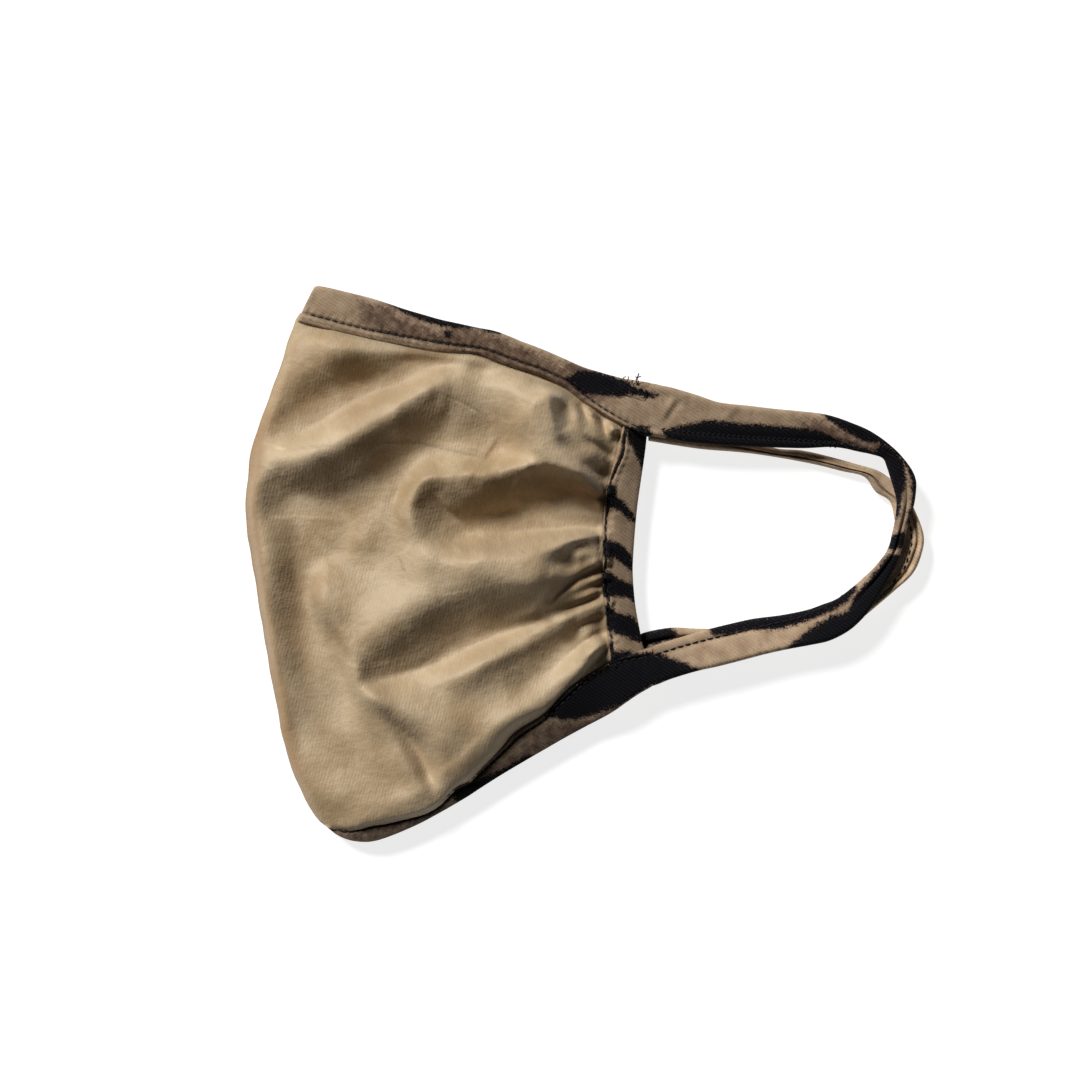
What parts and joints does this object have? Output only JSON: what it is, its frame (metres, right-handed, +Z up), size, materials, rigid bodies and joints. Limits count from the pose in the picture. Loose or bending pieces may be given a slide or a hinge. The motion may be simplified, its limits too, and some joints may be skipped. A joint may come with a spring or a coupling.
{
  "type": "fabric face mask",
  "caption": "Reusable contour face mask in tan knit with camouflage-print edge binding that carries on as ear loops; lies folded flat along its centre-front seam.",
  "frame": {"origin": "centre of the bounding box in X and Y, on the plane the folded mask rests on", "axes": "+Z up, away from the table; +Y from chin to nose; +X from the folded centre-front seam to the ear loops; the wearer's left half is on top"},
  "size_m": [0.1831, 0.1508, 0.0131],
  "materials": {
    "tan_knit": "satin knit",
    "camo_lining": "matte printed knit",
    "camo_tape": "matte printed binding tape",
    "black_thread": "soft sheen sewing thread",
    "tan_thread": "soft sheen sewing thread"
  },
  "bodies": {
    "right_half": {"right_cheek_panel": "tan_knit", "right_lining_panel": "camo_lining", "right_top_binding": "camo_tape", "right_side_binding": "camo_tape", "right_bottom_binding": "camo_tape", "right_top_stitching": "black_thread", "right_side_stitching": "black_thread", "right_bottom_stitching": "black_thread", "right_gathering_thread": "tan_thread", "centre_seam_thread": "tan_thread"},
    "left_half": {"left_cheek_panel": "tan_knit", "left_lining_panel": "camo_lining", "left_top_binding": "camo_tape", "left_side_binding": "camo_tape", "left_bottom_binding": "camo_tape", "left_top_stitching": "black_thread", "left_side_stitching": "black_thread", "left_bottom_stitching": "black_thread", "left_gathering_thread": "tan_thread", "left_tape_lap": "camo_tape", "left_thread_tail": "black_thread"},
    "left_loop": {"left_ear_loop": "camo_tape", "left_ear_loop_stitching": "black_thread"},
    "right_loop": {"right_ear_loop": "camo_tape", "right_ear_loop_stitching": "black_thread"}
  },
  "joints": [
    {"name": "centre_fold", "type": "hinge", "parent": "right_half", "child": "left_half", "pos_m": [-0.0918, 0, 0.0048], "axis": [0, -1, 0], "range_deg": [0, 90]},
    {"name": "left_loop_swing", "type": "hinge", "parent": "left_half", "child": "left_loop", "pos_m": [0.02007, 0.03576, 0.0102], "axis": [-0.0693, -0.9976, 0], "range_deg": [0, 150]},
    {"name": "right_loop_swing", "type": "hinge", "parent": "right_half", "child": "right_loop", "pos_m": [0.02007, 0.03576, -0.0003], "axis": [0.0693, 0.9976, 0], "range_deg": [0, 150]}
  ]
}
